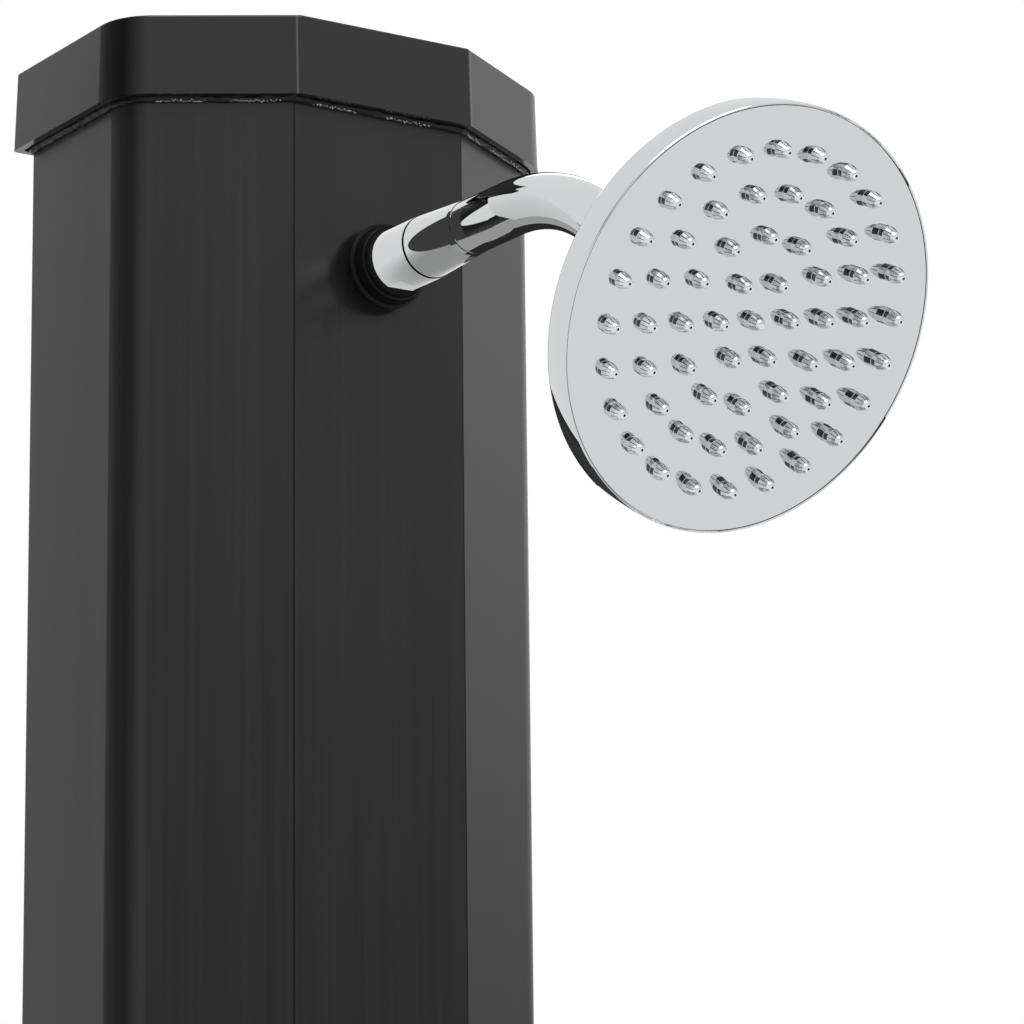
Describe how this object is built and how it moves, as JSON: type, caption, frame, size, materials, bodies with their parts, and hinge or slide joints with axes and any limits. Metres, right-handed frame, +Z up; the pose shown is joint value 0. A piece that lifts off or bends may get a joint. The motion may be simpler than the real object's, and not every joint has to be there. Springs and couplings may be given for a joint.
{
  "type": "outdoor shower post",
  "caption": "Solar shower post: hollow bow-front tank on a foot plate, with an arm and ball-jointed shower head, a mixer, a foot tap and a hose inlet.",
  "frame": {"origin": "middle of the four anchor holes, on the underside of the foot plate", "axes": "+Z up, the front of the post with its arm faces -Y, +X to the right seen from the front"},
  "size_m": [0.25, 0.4392, 2.17],
  "materials": {
    "post_pvc": "satin extruded PVC, faint vertical draw lines",
    "cap_abs": "semi-gloss moulded ABS",
    "boot_abs": "semi-gloss moulded ABS",
    "powder_coat": "black powder coat on steel",
    "chrome": "polished chrome plate",
    "brass": "machined brass",
    "steel": "stainless steel",
    "black_plastic": "moulded black nylon",
    "rubber": "black EPDM",
    "silicone": "translucent silicone",
    "ptfe": "PTFE",
    "pvc_fitting": "moulded grey plastic",
    "pipe": "drawn polyethylene pipe",
    "sealant": "black solvent cement with glints",
    "index_plastic": "polished plastic"
  },
  "bodies": {
    "post": {"base_plate": "powder_coat", "base_boot": "boot_abs", "bottom_closure": "pvc_fitting", "foot_screws": "steel", "post_shell": "post_pvc", "top_cap": "cap_abs", "cap_bead": "sealant", "wall_flange": "black_plastic", "collar_washer": "rubber", "arm_socket": "brass", "arm_locknut": "brass", "arm_collar": "chrome", "arm_seal": "rubber", "shower_arm": "chrome", "ball_stud": "chrome", "mixer_gasket": "rubber", "mixer_body": "chrome", "mixer_locknuts": "brass", "mixer_cartridge": "pvc_fitting", "cartridge_retainer": "brass", "mixer_dome": "chrome", "tap_gasket": "rubber", "tap_body": "chrome", "tap_locknut": "brass", "tap_headwork": "brass", "tap_aerator": "pvc_fitting", "inlet_gasket": "rubber", "inlet_union": "chrome", "inlet_locknut": "brass", "inlet_tee": "pvc_fitting", "hose_adapter": "black_plastic", "drain_plug": "black_plastic", "drain_gasket": "rubber", "cold_riser": "pipe", "hot_pickup": "pipe", "shower_riser": "pipe", "pipe_clips": "pvc_fitting"},
    "front_seat": {"ball_seat_front": "ptfe"},
    "rear_seat": {"ball_seat_rear": "ptfe"},
    "head": {"swivel_nut": "chrome", "head_shell": "chrome", "face_plate": "chrome", "nozzle_mat": "silicone", "head_seal": "rubber"},
    "mixer_core": {"cartridge_carrier": "ptfe", "lift_pin": "steel"},
    "lever": {"lever_stem": "brass", "mixer_lever": "chrome", "lever_screw": "steel", "index_plug": "index_plastic"},
    "foot_handle": {"tap_spindle": "brass", "tap_handle": "chrome", "tap_screw": "steel", "tap_screw_cap": "index_plastic"}
  },
  "joints": [
    {"name": "head_tilt", "type": "hinge", "parent": "post", "child": "front_seat", "pos_m": [0, -0.26274, 2.014], "axis": [1, 0, 0], "range_deg": [-8, 28]},
    {"name": "head_side", "type": "hinge", "parent": "front_seat", "child": "rear_seat", "pos_m": [0, -0.26274, 2.014], "axis": [0, -0.4879, 0.8729], "range_deg": [-20, 11]},
    {"name": "head_spin", "type": "hinge", "parent": "rear_seat", "child": "head", "pos_m": [0, -0.26274, 2.014], "axis": [0.0826, -0.8699, -0.4862], "continuous": true},
    {"name": "mixer_turn", "type": "hinge", "parent": "post", "child": "mixer_core", "pos_m": [0, -0.09044, 1.1], "axis": [0, -1, 0], "range_deg": [-45, 45]},
    {"name": "mixer_lift", "type": "hinge", "parent": "mixer_core", "child": "lever", "pos_m": [0, -0.09044, 1.1], "axis": [-1, 0, 0], "range_deg": [0, 22]},
    {"name": "foot_tap_turn", "type": "hinge", "parent": "post", "child": "foot_handle", "pos_m": [0, -0.10444, 0.32], "axis": [0, -1, 0], "range_deg": [0, 90]}
  ]
}
